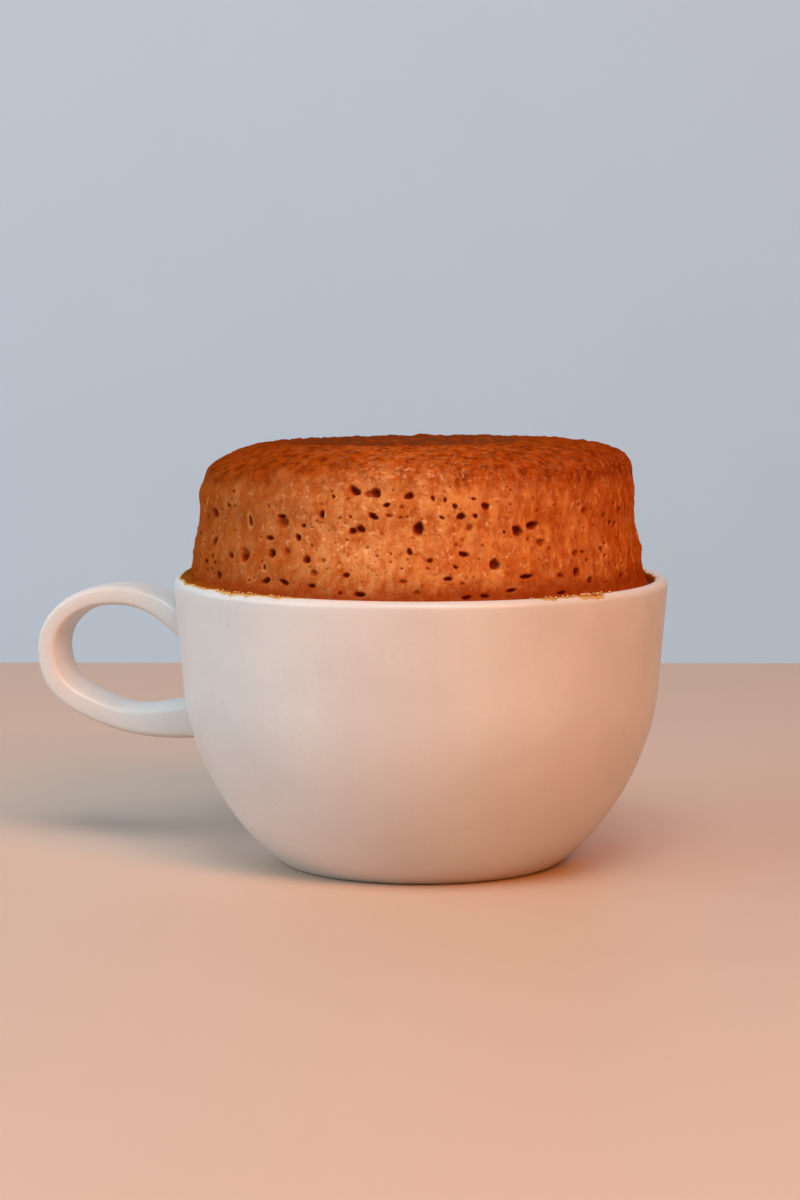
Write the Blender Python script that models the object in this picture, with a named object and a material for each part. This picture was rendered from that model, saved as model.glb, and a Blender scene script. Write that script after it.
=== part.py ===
"""Mug cake: a wide glazed cup with one loop handle, and the sponge baked in it.

Sizes below are millimetres and are turned into metres as the meshes are made.
+Z is up, the origin is the middle of the cup's flat foot, and the handle is on
the -X side. "Reach" is the distance from the bowl's axis towards the handle.
"""

import math

import bmesh
import bpy
import numpy as np
from mathutils import Vector

MM = 0.001
TURN_STEPS = 64

# Cup, outside.
FOOT_RADIUS = 30.0
FOOT_EDGE = 0.5
BELLY_RADIUS = 50.95
BELLY_HEIGHT = 38.0
RIM_RADIUS = 52.8
RIM_HEIGHT = 61.5
FOOT_TANGENT = (9.2, 6.0)
BELLY_PULL = 16.4

# Cup, inside.
LIP_RADIUS = 1.6
FLOOR_HEIGHT = 6.0
FLOOR_RADIUS = 22.0
BELLY_WALL = 4.6
INNER_FLOOR_PULL = 14.5
INNER_BELLY_PULL = 17.0

# Handle: a flat ribbon bent into a loop and let into the bowl's side.
# Each knot is reach, height, heading in degrees, pull before, pull after,
# thickness and width.
HANDLE_KNOTS = (
    (49.7, 48.0, 36.0, 0.0, 8.0, 5.5, 13.0),
    (68.5, 55.9, -2.0, 9.5, 8.6, 4.4, 12.5),
    (83.4, 43.0, -94.0, 7.2, 7.2, 4.6, 12.5),
    (70.4, 29.9, -160.0, 9.6, 7.6, 5.2, 12.5),
    (47.2, 29.5, -185.0, 10.0, 0.0, 8.6, 13.5),
)
HANDLE_RINGS_PER_SPAN = 7
HANDLE_SIDES = 16
RIBBON_SQUARENESS = 0.72
JOINT_FILLET = 1.5
JOINT_RINGS = 3
JOINT_BAND = 1.5 * JOINT_FILLET
JOINT_BLEND = 8.0

# Cake.
CAKE_GAP = 0.35
CAKE_TOP = 91.0
CAKE_HIDDEN_TOP = 55.0
CAKE_SIDE = ((48.7, 59.0), (48.6, 61.5), (47.9, 66.3), (46.8, 72.0), (46.6, 80.0), (45.7, 85.2))
CAKE_SHOULDER = ((45.7, 85.2), (44.9, 88.9), (40.5, 90.7), (31.5, CAKE_TOP))
CAKE_TOP_RADII = (24.0, 17.0, 10.0, 4.0, 0.0)
UPPER_START = 76.0
UPPER_RISE = 10.0
LEAN = 0.95
LEAN_ANGLE = math.radians(194.0)
LEAN_START = 59.5
LEAN_RISE = 3.5
SHOULDER_DROOP = 2.2
SHOULDER_START = 30.0
SHOULDER_WIDTH = 15.0
BACK_DROOP = 1.0
BACK_REACH = 34.0
BACK_ANGLE = LEAN_ANGLE - math.pi / 2
LOBES = ((2, 0.35, 0.4), (3, 0.30, 2.1), (5, 0.22, 4.0))
CRATER_TOP = 4.0
CRATER_DEPTH = 4.2
CRATER_RADIUS = 17.0
CRATER_CENTRE = (-6.0, 2.0)

# Finishes: base colour, roughness, coat.
GLAZE = ((0.72, 0.66, 0.61), 0.38, 0.3)
SPONGE = ((0.47, 0.16, 0.045), 0.62, 0.0)


def clear_scene():
    """Remove every object that the new file starts with."""
    for item in list(bpy.data.objects):
        bpy.data.objects.remove(item, do_unlink=True)


def make_material(name, finish):
    """Return a Principled material with one plain colour."""
    colour, roughness, coat = finish
    material = bpy.data.materials.new(name)
    material.use_nodes = True
    shader = material.node_tree.nodes["Principled BSDF"]
    shader.inputs["Base Color"].default_value = (*colour, 1.0)
    shader.inputs["Roughness"].default_value = roughness
    shader.inputs["Metallic"].default_value = 0.0
    shader.inputs["Coat Weight"].default_value = coat
    return material


def smoothstep(value):
    """Ease a value from 0 to 1, level at both ends."""
    value = min(max(value, 0.0), 1.0)
    return value * value * (3.0 - 2.0 * value)


def bezier(corners, count):
    """Return count + 1 points of the cubic Bezier curve with these four corners."""
    start, first, second, end = (Vector(corner) for corner in corners)
    points = []
    for step in range(count + 1):
        t = step / count
        s = 1.0 - t
        points.append(s**3 * start + 3 * s * s * t * first + 3 * s * t * t * second + t**3 * end)
    return points


def through(knots, count):
    """Return points of a smooth curve that passes through all the knots."""
    knots = [Vector(knot) for knot in knots]
    points = []
    for index in range(len(knots) - 1):
        before = knots[max(index - 1, 0)]
        start = knots[index]
        end = knots[index + 1]
        after = knots[min(index + 2, len(knots) - 1)]
        corners = (start, start + (end - before) / 6, end - (after - start) / 6, end)
        points += bezier(corners, count)[:-1]
    return points + [knots[-1]]


def belly_corners(foot, foot_tangent, belly, rim, pull):
    """Return Bezier corners from the foot's edge up into the straight flare to the rim."""
    foot, belly, rim = Vector(foot), Vector(belly), Vector(rim)
    flare = (rim - belly).normalized()
    return foot, foot + Vector(foot_tangent), belly - flare * pull, belly


def outer_profile():
    """Return the bowl's outside, from the foot's edge to where the lip's curve starts."""
    rim = (RIM_RADIUS, RIM_HEIGHT - LIP_RADIUS)
    belly = (BELLY_RADIUS, BELLY_HEIGHT)
    foot = (FOOT_RADIUS, FOOT_EDGE * 0.5)
    curve = bezier(belly_corners(foot, FOOT_TANGENT, belly, rim, BELLY_PULL), 11)
    middle = (Vector(belly) + Vector(rim)) / 2
    return [Vector((FOOT_RADIUS - FOOT_EDGE, 0.0)), *curve, middle, Vector(rim)]


def inner_profile():
    """Return the bowl's inside, from the floor's edge to where the lip's curve ends."""
    rim = (RIM_RADIUS - 2 * LIP_RADIUS, RIM_HEIGHT - LIP_RADIUS)
    belly = (BELLY_RADIUS - BELLY_WALL, BELLY_HEIGHT)
    floor = (FLOOR_RADIUS, FLOOR_HEIGHT)
    tangent = (INNER_FLOOR_PULL, 0.0)
    curve = bezier(belly_corners(floor, tangent, belly, rim, INNER_BELLY_PULL), 10)
    middle = (Vector(belly) + Vector(rim)) / 2
    return [*curve, middle, Vector(rim)]


def lip_profile():
    """Return the half circle over the rim, from outside to inside, without its ends."""
    centre = Vector((RIM_RADIUS - LIP_RADIUS, RIM_HEIGHT - LIP_RADIUS))
    steps = 8
    angles = [math.pi * step / steps for step in range(1, steps)]
    return [centre + LIP_RADIUS * Vector((math.cos(angle), math.sin(angle))) for angle in angles]


def outer_radius(height):
    """Return the bowl's outside radius at a height."""
    profile = outer_profile()
    heights = [point[1] for point in profile]
    radii = [point[0] for point in profile]
    return float(np.interp(height, heights, radii))


def turned_mesh(bm, profile):
    """Spin an outline of (radius, height) points, both ends on the axis, into a closed body."""
    verts = [bm.verts.new((radius, 0.0, height)) for radius, height in profile]
    edges = [bm.edges.new(pair) for pair in zip(verts, verts[1:])]
    bmesh.ops.spin(bm, geom=verts + edges, cent=(0, 0, 0), axis=(0, 0, 1),
                   angle=math.tau, steps=TURN_STEPS, use_merge=True)
    bmesh.ops.remove_doubles(bm, verts=bm.verts, dist=0.01)


def finish_object(bm, name, material, crease=50.0):
    """Scale the millimetre mesh to metres and wrap it in a smooth-shaded object."""
    bmesh.ops.scale(bm, vec=(MM, MM, MM), verts=bm.verts)
    bmesh.ops.recalc_face_normals(bm, faces=bm.faces)
    mesh = bpy.data.meshes.new(name)
    bm.to_mesh(mesh)
    bm.free()
    mesh.shade_smooth()
    mesh.set_sharp_from_angle(angle=math.radians(crease))
    mesh.materials.append(material)
    item = bpy.data.objects.new(name, mesh)
    bpy.context.collection.objects.link(item)
    return item


def make_bowl(material):
    """Turn the bowl: flat foot, round belly, slight flare, rounded lip and hollow inside."""
    outline = [Vector((0.0, 0.0)), *outer_profile(), *lip_profile()]
    outline += [*reversed(inner_profile()), Vector((0.0, FLOOR_HEIGHT))]
    bm = bmesh.new()
    turned_mesh(bm, outline)
    return finish_object(bm, "cup", material)


def handle_spine():
    """Return the ribbon's stations: point, heading, thickness and width."""
    stations = []
    for here, there in zip(HANDLE_KNOTS, HANDLE_KNOTS[1:]):
        start, end = Vector(here[:2]), Vector(there[:2])
        leave, arrive = math.radians(here[2]), math.radians(there[2])
        corners = (start, start + here[4] * Vector((math.cos(leave), math.sin(leave))),
                   end - there[3] * Vector((math.cos(arrive), math.sin(arrive))), end)
        points = bezier(corners, HANDLE_RINGS_PER_SPAN)
        for step, point in enumerate(points[:-1]):
            blend = smoothstep(step / HANDLE_RINGS_PER_SPAN)
            sizes = [a + (b - a) * blend for a, b in zip(here[5:], there[5:])]
            heading = (points[step + 1] - point).normalized()
            stations.append((point, heading, *sizes))
    last = HANDLE_KNOTS[-1]
    stations.append((Vector(last[:2]), stations[-1][1], last[5], last[6]))
    return with_joint_rings(stations)


def with_joint_rings(stations):
    """Add close-set stations where the ribbon runs through the bowl's surface."""
    result = []
    for here, there in zip(stations, stations[1:]):
        result.append(here)
        gaps = [abs(point[0] - outer_radius(point[1])) for point in (here[0], there[0])]
        if min(gaps) > JOINT_BAND:
            continue
        for step in range(1, JOINT_RINGS + 1):
            blend = step / (JOINT_RINGS + 1)
            heading = here[1].lerp(there[1], blend).normalized()
            sizes = [a + (b - a) * blend for a, b in zip(here[2:], there[2:])]
            result.append((here[0].lerp(there[0], blend), heading, *sizes))
    return result + [stations[-1]]


def ribbon_point(station, angle):
    """Return one point of a station's rounded section, flared where it meets the bowl."""
    spot, heading, thickness, width = station
    across = math.copysign(abs(math.cos(angle)) ** RIBBON_SQUARENESS, math.cos(angle))
    outward = math.copysign(abs(math.sin(angle)) ** RIBBON_SQUARENESS, math.sin(angle))
    upright = smoothstep(1.0 - (spot[0] - BELLY_RADIUS) / JOINT_BLEND)
    normal = Vector((-heading[1], heading[0]))
    side = normal.lerp(Vector((0.0, math.copysign(1.0, normal[1]))), upright).normalized()
    side /= side.dot(normal)
    centre = Vector((-spot[0], 0.0, spot[1]))
    offset = Vector((-side[0] * outward * thickness / 2, across * width / 2,
                     side[1] * outward * thickness / 2))
    point = centre + offset
    gap = math.hypot(point.x, point.y) - outer_radius(point.z)
    closeness = min(max(1.0 - gap / JOINT_FILLET, 0.0), 1.0)
    flare = JOINT_FILLET * (1.0 - math.sqrt(1.0 - closeness * closeness))
    return point + offset.normalized() * flare


def make_handle(material):
    """Sweep the ribbon's sections along the loop and close both ends."""
    bm = bmesh.new()
    rings = []
    for station in handle_spine():
        ring = bmesh.ops.create_circle(bm, cap_ends=False, segments=HANDLE_SIDES, radius=1.0)
        for vert in ring["verts"]:
            vert.co = ribbon_point(station, math.atan2(vert.co.y, vert.co.x))
        rings.append(list({edge for vert in ring["verts"] for edge in vert.link_edges}))
    for near, far in zip(rings, rings[1:]):
        bmesh.ops.bridge_loops(bm, edges=near + far)
    for ring in (rings[0], rings[-1]):
        bmesh.ops.contextual_create(bm, geom=ring)
    handle = finish_object(bm, "handle_cutter", material)
    handle.hide_render = True
    handle.display_type = "WIRE"
    return handle


def make_cup():
    """Join the handle to the bowl as one piece of glazed ceramic."""
    material = make_material("glaze", GLAZE)
    cup = make_bowl(material)
    handle = make_handle(material)
    union = cup.modifiers.new("handle", "BOOLEAN")
    union.operation = "UNION"
    union.solver = "EXACT"
    union.object = handle
    return cup


def cake_profile():
    """Return the sponge's outline from the middle of its underside to the middle of its top."""
    hidden = [point + Vector((-CAKE_GAP, CAKE_GAP * 0.7)) for point in inner_profile()]
    hidden = [point for point in hidden if point[1] < CAKE_HIDDEN_TOP]
    underside = [Vector((0.0, FLOOR_HEIGHT + CAKE_GAP))]
    side = through(CAKE_SIDE, 2)
    shoulder = bezier(CAKE_SHOULDER, 5)[1:]
    top = [Vector((radius, CAKE_TOP)) for radius in CAKE_TOP_RADII]
    return [*underside, *hidden, *side, *shoulder, *top]


def shape_cake_point(co):
    """Move one point of the turned sponge to its uneven, sunken-topped place."""
    radius = math.hypot(co.x, co.y)
    angle = math.atan2(co.y, co.x)
    risen = smoothstep((co.z - LEAN_START) / LEAN_RISE)
    towards = math.cos(angle - LEAN_ANGLE)
    swell = LEAN * towards + sum(size * math.cos(n * angle + phase) for n, size, phase in LOBES)
    new_radius = radius * (1.0 + risen * swell / CAKE_SIDE[0][0])
    upper = smoothstep((co.z - UPPER_START) / UPPER_RISE)
    edge = smoothstep((radius - SHOULDER_START) / SHOULDER_WIDTH)
    drop = SHOULDER_DROOP * edge * upper * (0.5 + 0.5 * towards)
    backwards = 0.5 + 0.5 * math.cos(angle - BACK_ANGLE)
    drop += BACK_DROOP * backwards * smoothstep(radius / BACK_REACH) * upper
    x, y = new_radius * math.cos(angle), new_radius * math.sin(angle)
    if co.z > CAKE_TOP - CRATER_TOP:
        away = math.hypot(x - CRATER_CENTRE[0], y - CRATER_CENTRE[1]) / CRATER_RADIUS
        drop += CRATER_DEPTH * math.exp(-away * away)
    return Vector((x, y, co.z - drop))


def make_cake():
    """Turn the sponge that fills the bowl and stands above its rim."""
    bm = bmesh.new()
    turned_mesh(bm, cake_profile())
    for vert in bm.verts:
        vert.co = shape_cake_point(vert.co)
    return finish_object(bm, "cake", make_material("sponge", SPONGE))


def main():
    """Build the cup and the cake in an empty scene."""
    clear_scene()
    make_cup()
    make_cake()


main()
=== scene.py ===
"""Mug cake: the looks of a porous sponge that was baked in, and rose out of, a wide glazed cup.

The cup is turned and its loop handle swept as one piece of stoneware. The sponge is a lathe of
fine rings, refined round all but the faint pores and then carved. A thin baked-on crust and
crumbs lie on the lip. Sizes are millimetres until a mesh is finished. Bearings are degrees round
the axis from the front (-Y) towards +X, so the handle lies at bearing -90.
"""

import logging
import math
import random
from dataclasses import dataclass, field
from enum import Enum
from functools import cached_property
from typing import Any, Iterable, Optional, Sequence, Union

import bmesh
import bpy
from bmesh.types import BMEdge, BMesh, BMVert
from mathutils import Matrix, Vector, noise
from mathutils.kdtree import KDTree

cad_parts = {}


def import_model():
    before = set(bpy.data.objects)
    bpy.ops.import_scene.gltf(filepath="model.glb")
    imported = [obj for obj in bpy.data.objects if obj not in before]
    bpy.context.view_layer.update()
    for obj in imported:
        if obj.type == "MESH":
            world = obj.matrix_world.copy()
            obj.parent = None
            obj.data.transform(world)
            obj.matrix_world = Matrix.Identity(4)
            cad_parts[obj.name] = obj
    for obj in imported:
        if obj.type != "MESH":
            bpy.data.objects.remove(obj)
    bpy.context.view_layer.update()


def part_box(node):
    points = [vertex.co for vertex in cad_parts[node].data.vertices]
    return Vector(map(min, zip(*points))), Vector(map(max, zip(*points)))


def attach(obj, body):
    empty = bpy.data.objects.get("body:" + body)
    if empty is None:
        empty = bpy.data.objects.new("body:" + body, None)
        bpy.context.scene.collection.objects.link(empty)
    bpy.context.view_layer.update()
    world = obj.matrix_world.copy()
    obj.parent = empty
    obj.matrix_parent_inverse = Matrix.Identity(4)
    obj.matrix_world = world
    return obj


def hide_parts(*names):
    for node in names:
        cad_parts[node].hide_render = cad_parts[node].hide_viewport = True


LOG = logging.getLogger("mug_cake")
MM = 0.001

Span = tuple[float, float]
Colour = tuple[float, float, float]
Number = Union[float, "Value"]
Input = Union[Number, Colour]

# Vertices closer than this are merged, and sorted along a direction that separates them.
MERGE = 0.002
SORT_WAY = Vector((1.0, 37.0, 1009.0))

# What the sponge's mesh tells its material, where pore, brown and low carry painted shade, how
# baked crumb scatters light, and the bearing of the middle of its light front.
SPONGE_LAYERS = ("pore", "pale", "brown", "low", "skin", "top")
CRUMB_SCATTER = (1.0, 0.32, 0.10)
FRONT_MIDDLE = 8.0

# A pore's parts, as distances from its middle in half sizes, with the painted shade in its hollow,
# and its outline's uneven waves.
PORE_BRIM = 1.2
PORE_SHADE = (1.4, 0.35)
PORE_DARKNESS = (0.6, 0.5)
PORE_REACH = 2.2
PORE_MARGIN = 0.3
PORE_WAVES = ((0.07, 2, 1), (0.06, 3, -2), (0.03, 5, 3))
RING_RISE = (0.9, 1.3)
RING_FALL = (2.3, 1.3)
RING_HEIGHT = 0.06


# ---- Small sums ----


def smoothstep(low: float, high: float, value: float) -> float:
    """Ease a value from 0 at low to 1 at high, level at both ends."""
    share = min(max((value - low) / (high - low), 0.0), 1.0)
    return share * share * (3.0 - 2.0 * share)


def mix(first: float, second: float, share: float) -> float:
    """Return the value that lies this share of the way from first to second."""
    return first + (second - first) * share


def bearing_of(point: Vector) -> float:
    """Return a point's bearing in degrees, 0 at the front and 90 at +X."""
    return math.degrees(math.atan2(point.x, -point.y))


def at_bearing(radius: float, bearing: float, height: float) -> Vector:
    """Return the point at a radius, a bearing in degrees and a height."""
    angle = math.radians(bearing)
    return Vector((radius * math.sin(angle), -radius * math.cos(angle), height))


def bearing_gap(first: float, second: float) -> float:
    """Return how far two bearings lie apart, from 0 to 180 degrees."""
    return abs((first - second + 180.0) % 360.0 - 180.0)


def rough(point: Vector, size: float, seed: float, octaves: int = 1) -> float:
    """Return smooth random relief of about -1 to 1, with bumps of a size in millimetres."""
    spot = point / size + Vector((seed, seed * 1.7, -seed))
    return noise.noise(spot) if octaves == 1 else noise.fractal(spot, 0.9, 2.1, octaves)


def bezier(corners: Sequence[Sequence[float]], count: int) -> list[Vector]:
    """Return points along a cubic Bezier curve.

    Args:
        corners: Its four corners.
        count: How many steps it has.

    Returns:
        The curve's points, both ends included.
    """
    start, first, second, end = (Vector(corner) for corner in corners)
    points = []
    for step in range(count + 1):
        t = step / count
        s = 1.0 - t
        points.append(s**3 * start + 3 * s * s * t * first + 3 * s * t * t * second + t**3 * end)
    return points


def through(knots: Sequence[Sequence[float]], count: int) -> list[Vector]:
    """Return points of a smooth curve that passes through all the knots.

    Args:
        knots: The points that the curve passes through.
        count: How many steps lie between two knots.

    Returns:
        The curve's points, both ends included.
    """
    places = [Vector(knot) for knot in knots]
    points = []
    for index, (start, end) in enumerate(zip(places, places[1:])):
        before = places[max(index - 1, 0)]
        after = places[min(index + 2, len(places) - 1)]
        corners = (start, start + (end - before) / 6, end - (after - start) / 6, end)
        points += bezier(corners, count)[:-1]
    return points + [places[-1]]


def evenly(points: Sequence[Vector], step: float) -> list[Vector]:
    """Walk along a line of points.

    Args:
        points: The line.
        step: How long each pace is.

    Returns:
        The line's first point, and the point after each pace.
    """
    result = [points[0]]
    left = step
    for start, end in zip(points, points[1:]):
        length = (end - start).length
        while length > left:
            start = start.lerp(end, left / length)
            length = (end - start).length
            result.append(start)
            left = step
        left -= length
    return result


# ---- Mesh tools ----


def ring_edges(verts: Iterable[BMVert]) -> list[BMEdge]:
    """Return the edges that join these vertices to each other."""
    chosen = set(verts)
    return list({edge for vert in chosen for edge in vert.link_edges
                 if edge.other_vert(vert) in chosen})


def add_ring(bm: BMesh, radius: float, height: float, columns: int) -> list[BMVert]:
    """Add a level circle round the axis, at a height, and return its vertices."""
    return bmesh.ops.create_circle(bm, cap_ends=False, segments=columns, radius=radius,
                                   matrix=Matrix.Translation((0.0, 0.0, height)))["verts"]


def bridge_rings(bm: BMesh, rings: Sequence[list[BMVert]]) -> None:
    """Join each ring to the next one with faces."""
    for near, far in zip(rings, rings[1:]):
        bmesh.ops.bridge_loops(bm, edges=ring_edges(near) + ring_edges(far))


def close_ring(bm: BMesh, ring: list[BMVert]) -> None:
    """Close the hole that a ring leaves with a fan of triangles."""
    made = bmesh.ops.contextual_create(bm, geom=ring_edges(ring))
    bmesh.ops.poke(bm, faces=made["faces"])


def spin_profile(bm: BMesh, outline: Sequence[Vector], steps: int) -> None:
    """Turn an outline into a closed body.

    Args:
        bm: The mesh that gains the body.
        outline: Its (radius, height) points, both ends on the axis.
        steps: How many steps the turn has.
    """
    verts = [bm.verts.new((0.0, -point[0], point[1])) for point in outline]
    edges = [bm.edges.new(pair) for pair in zip(verts, verts[1:])]
    bmesh.ops.spin(bm, geom=verts + edges, cent=(0, 0, 0), axis=(0, 0, 1),
                   angle=math.tau, steps=steps, use_merge=True)
    bmesh.ops.remove_doubles(bm, verts=bm.verts, dist=MERGE)


def split_large(bm: BMesh) -> None:
    """Split the faces with more than four sides into triangles."""
    bmesh.ops.triangulate(bm, faces=[face for face in bm.faces if len(face.verts) > 4])


def vertex_tree(bm: BMesh) -> KDTree:
    """Return a search tree of the mesh's vertices, by their numbers.

    Args:
        bm: The mesh, whose vertices can then be looked up by number.

    Returns:
        The balanced tree.
    """
    bm.verts.ensure_lookup_table()
    tree = KDTree(len(bm.verts))
    for index, vert in enumerate(bm.verts):
        tree.insert(vert.co, index)
    tree.balance()
    return tree


def finish_mesh(bm: BMesh, name: str, material: Optional[bpy.types.Material]) -> bpy.types.Object:
    """Turn a millimetre mesh into a smooth-shaded object at the origin.

    Args:
        bm: The finished mesh, which is freed.
        name: The object's name.
        material: Its finish, or None for a tool that isn't shown.

    Returns:
        The new object, in metres.
    """
    bmesh.ops.scale(bm, vec=(MM, MM, MM), verts=bm.verts)
    bmesh.ops.recalc_face_normals(bm, faces=bm.faces)
    mesh = bpy.data.meshes.new(name)
    bm.to_mesh(mesh)
    bm.free()
    mesh.shade_smooth()
    if material is not None:
        mesh.materials.append(material)
    item = bpy.data.objects.new(name, mesh)
    bpy.context.scene.collection.objects.link(item)
    return item


# ---- Shader tools ----


@dataclass(frozen=True)
class Value:
    """One shader socket that can be used in Python sums."""

    graph: "Graph"
    socket: bpy.types.NodeSocket

    def sum(self, operation: str, *terms: Number) -> "Value":
        """Return the result of a Math node for these terms."""
        return self.graph.add("Math", 0, dict(enumerate(terms)), operation=operation)

    def __add__(self, other: Number) -> "Value":
        """Return self + other."""
        return self.sum("ADD", self, other)

    def __sub__(self, other: Number) -> "Value":
        """Return self - other."""
        return self.sum("SUBTRACT", self, other)

    def __rsub__(self, other: Number) -> "Value":
        """Return other - self."""
        return self.sum("SUBTRACT", other, self)

    def __mul__(self, other: Number) -> "Value":
        """Return self * other."""
        return self.sum("MULTIPLY", self, other)

    __radd__ = __add__
    __rmul__ = __mul__

    def over(self, low: float, high: float) -> "Value":
        """Return a smooth ramp that rises from 0 at low to 1 at high."""
        return self.graph.add("MapRange", "Result", {
            "Value": self, "From Min": low, "From Max": high}, interpolation_type="SMOOTHSTEP")


class Graph:
    """A Principled material and the nodes that drive it."""

    def __init__(self, name: str) -> None:
        """Start a material with one Principled shader."""
        self.material = bpy.data.materials.new(name)
        self.material.use_nodes = True
        self.tree = self.material.node_tree
        self.shader = self.tree.nodes["Principled BSDF"]

    def add(self, kind: str, output: Union[int, str], sockets: dict[Union[int, str], Input],
            **settings: Any) -> Value:
        """Add a node.

        Args:
            kind: The node's type, without the leading ShaderNode.
            output: The name or number of the output that is wanted.
            sockets: What each input holds: a number, a tuple or a Value.
            **settings: The node's own properties, set before its sockets.

        Returns:
            The wanted output.
        """
        node = self.tree.nodes.new("ShaderNode" + kind)
        for key, value in settings.items():
            setattr(node, key, value)
        for key, value in sockets.items():
            self.put(node.inputs[key], value)
        return Value(self, node.outputs[output])

    def put(self, socket: bpy.types.NodeSocket, value: Input) -> None:
        """Set an input, or link a Value to it.

        Args:
            socket: The input.
            value: What it holds.
        """
        if isinstance(value, Value):
            self.tree.links.new(value.socket, socket)
        elif socket.type == "RGBA":
            socket.default_value = (*value, 1.0)
        else:
            socket.default_value = value

    def dress(self, **sockets: Input) -> None:
        """Set the shader's inputs by their names, with underscores for spaces."""
        for key, value in sockets.items():
            self.put(self.shader.inputs[key.replace("_", " ")], value)

    def place(self, shift: Colour = (0.0, 0.0, 0.0), stretch: Colour = (1.0, 1.0, 1.0)) -> Value:
        """Return the Object coordinates, stretched and then shifted, in metres."""
        spot = self.add("TexCoord", "Object", {})
        return self.add("Mapping", "Vector", {"Vector": spot, "Location": shift, "Scale": stretch})

    def axis(self, name: str) -> Value:
        """Return one of the Object coordinates X, Y or Z in metres."""
        return self.add("SeparateXYZ", name, {"Vector": self.add("TexCoord", "Object", {})})

    def attribute(self, name: str) -> Value:
        """Return a number that is stored on the mesh."""
        return self.add("Attribute", "Fac", {}, attribute_name=name)

    def cloud(self, size: float, detail: float = 2.0, roughness: float = 0.5,
              shift: Colour = (0.0, 0.0, 0.0), stretch: Colour = (1.0, 1.0, 1.0)) -> Value:
        """Return soft noise from 0 to 1.

        Args:
            size: The width of its features in millimetres.
            detail: How many finer layers it has.
            roughness: How strong those layers are.
            shift: Moves the pattern, in metres.
            stretch: Scales the coordinates along each axis.

        Returns:
            The noise.
        """
        return self.add("TexNoise", "Fac", {
            "Vector": self.place(shift, stretch), "Scale": 1.0 / (size * MM),
            "Detail": detail, "Roughness": roughness})

    def cells(self, size: float, shift: Colour) -> Value:
        """Return the distance from the middles of cells of a size in millimetres."""
        return self.add("TexVoronoi", "Distance", {
            "Vector": self.place(shift), "Scale": 1.0 / (size * MM)}, feature="F1")

    def blend(self, share: Number, first: Input, second: Input) -> Value:
        """Return the mix of two colours, of which the second one has this share."""
        return self.add("Mix", 2, {0: share, 6: first, 7: second},
                        data_type="RGBA", blend_type="MIX", clamp_factor=True)

    def coats(self, base: Input, *coats: tuple[Number, Input]) -> Input:
        """Lay coats of colour over each other.

        Args:
            base: The colour beneath them all.
            *coats: Each coat's share and colour, from the lowest one up.

        Returns:
            The resulting colour.
        """
        for share, colour in coats:
            base = self.blend(share, base, colour)
        return base

    def bump(self, height: Value, strength: float, depth: float) -> Value:
        """Return a normal for relief with a depth in millimetres."""
        return self.add("Bump", "Normal", {
            "Height": height, "Strength": strength, "Distance": depth * MM})


# ---- Finishes ----


@dataclass(frozen=True)
class GlazeFinish:
    """Satin warm-white glaze over stoneware, left off the underside of the foot."""

    light: Colour = (0.735, 0.69, 0.655)
    cloudy: Colour = (0.67, 0.625, 0.59)
    speck: Colour = (0.30, 0.22, 0.16)
    clay: Colour = (0.52, 0.43, 0.34)
    bare_height: float = 0.45

    def make(self) -> bpy.types.Material:
        """Mix the glaze.

        Returns:
            The material.
        """
        graph = Graph("glaze")
        clouds = graph.cloud(26.0, 3.0, 0.55).over(0.3, 0.75)
        grain = graph.cloud(0.9, 2.0, 0.6, (0.03, 0.0, 0.0))
        specks = 1.0 - graph.cells(5.2, (0.0, 0.04, 0.0)).over(0.030, 0.052)
        specks = specks * graph.cloud(8.0, 1.0, 0.5, (0.0, 0.0, 0.07)).over(0.50, 0.60)
        bare = 1.0 - graph.axis("Z").over(self.bare_height * MM * 0.6, self.bare_height * MM)
        relief = graph.cloud(3.2, 2.0, 0.5) * 0.8 + grain * 0.25 - specks * 0.4
        base = graph.coats(
            self.light,
            (clouds, self.cloudy),
            ((grain - 0.5) * 0.10 + 0.03, self.speck),
            (specks * 0.45, self.speck),
            (bare, self.clay),
        )
        graph.dress(
            Base_Color=base,
            Roughness=0.36 + clouds * 0.07 + bare * 0.45,
            Coat_Weight=(1.0 - bare) * 0.18,
            Coat_Roughness=0.22,
            Specular_IOR_Level=0.5,
            Normal=graph.bump(relief, 0.35, 0.05),
        )
        return graph.material


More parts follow.
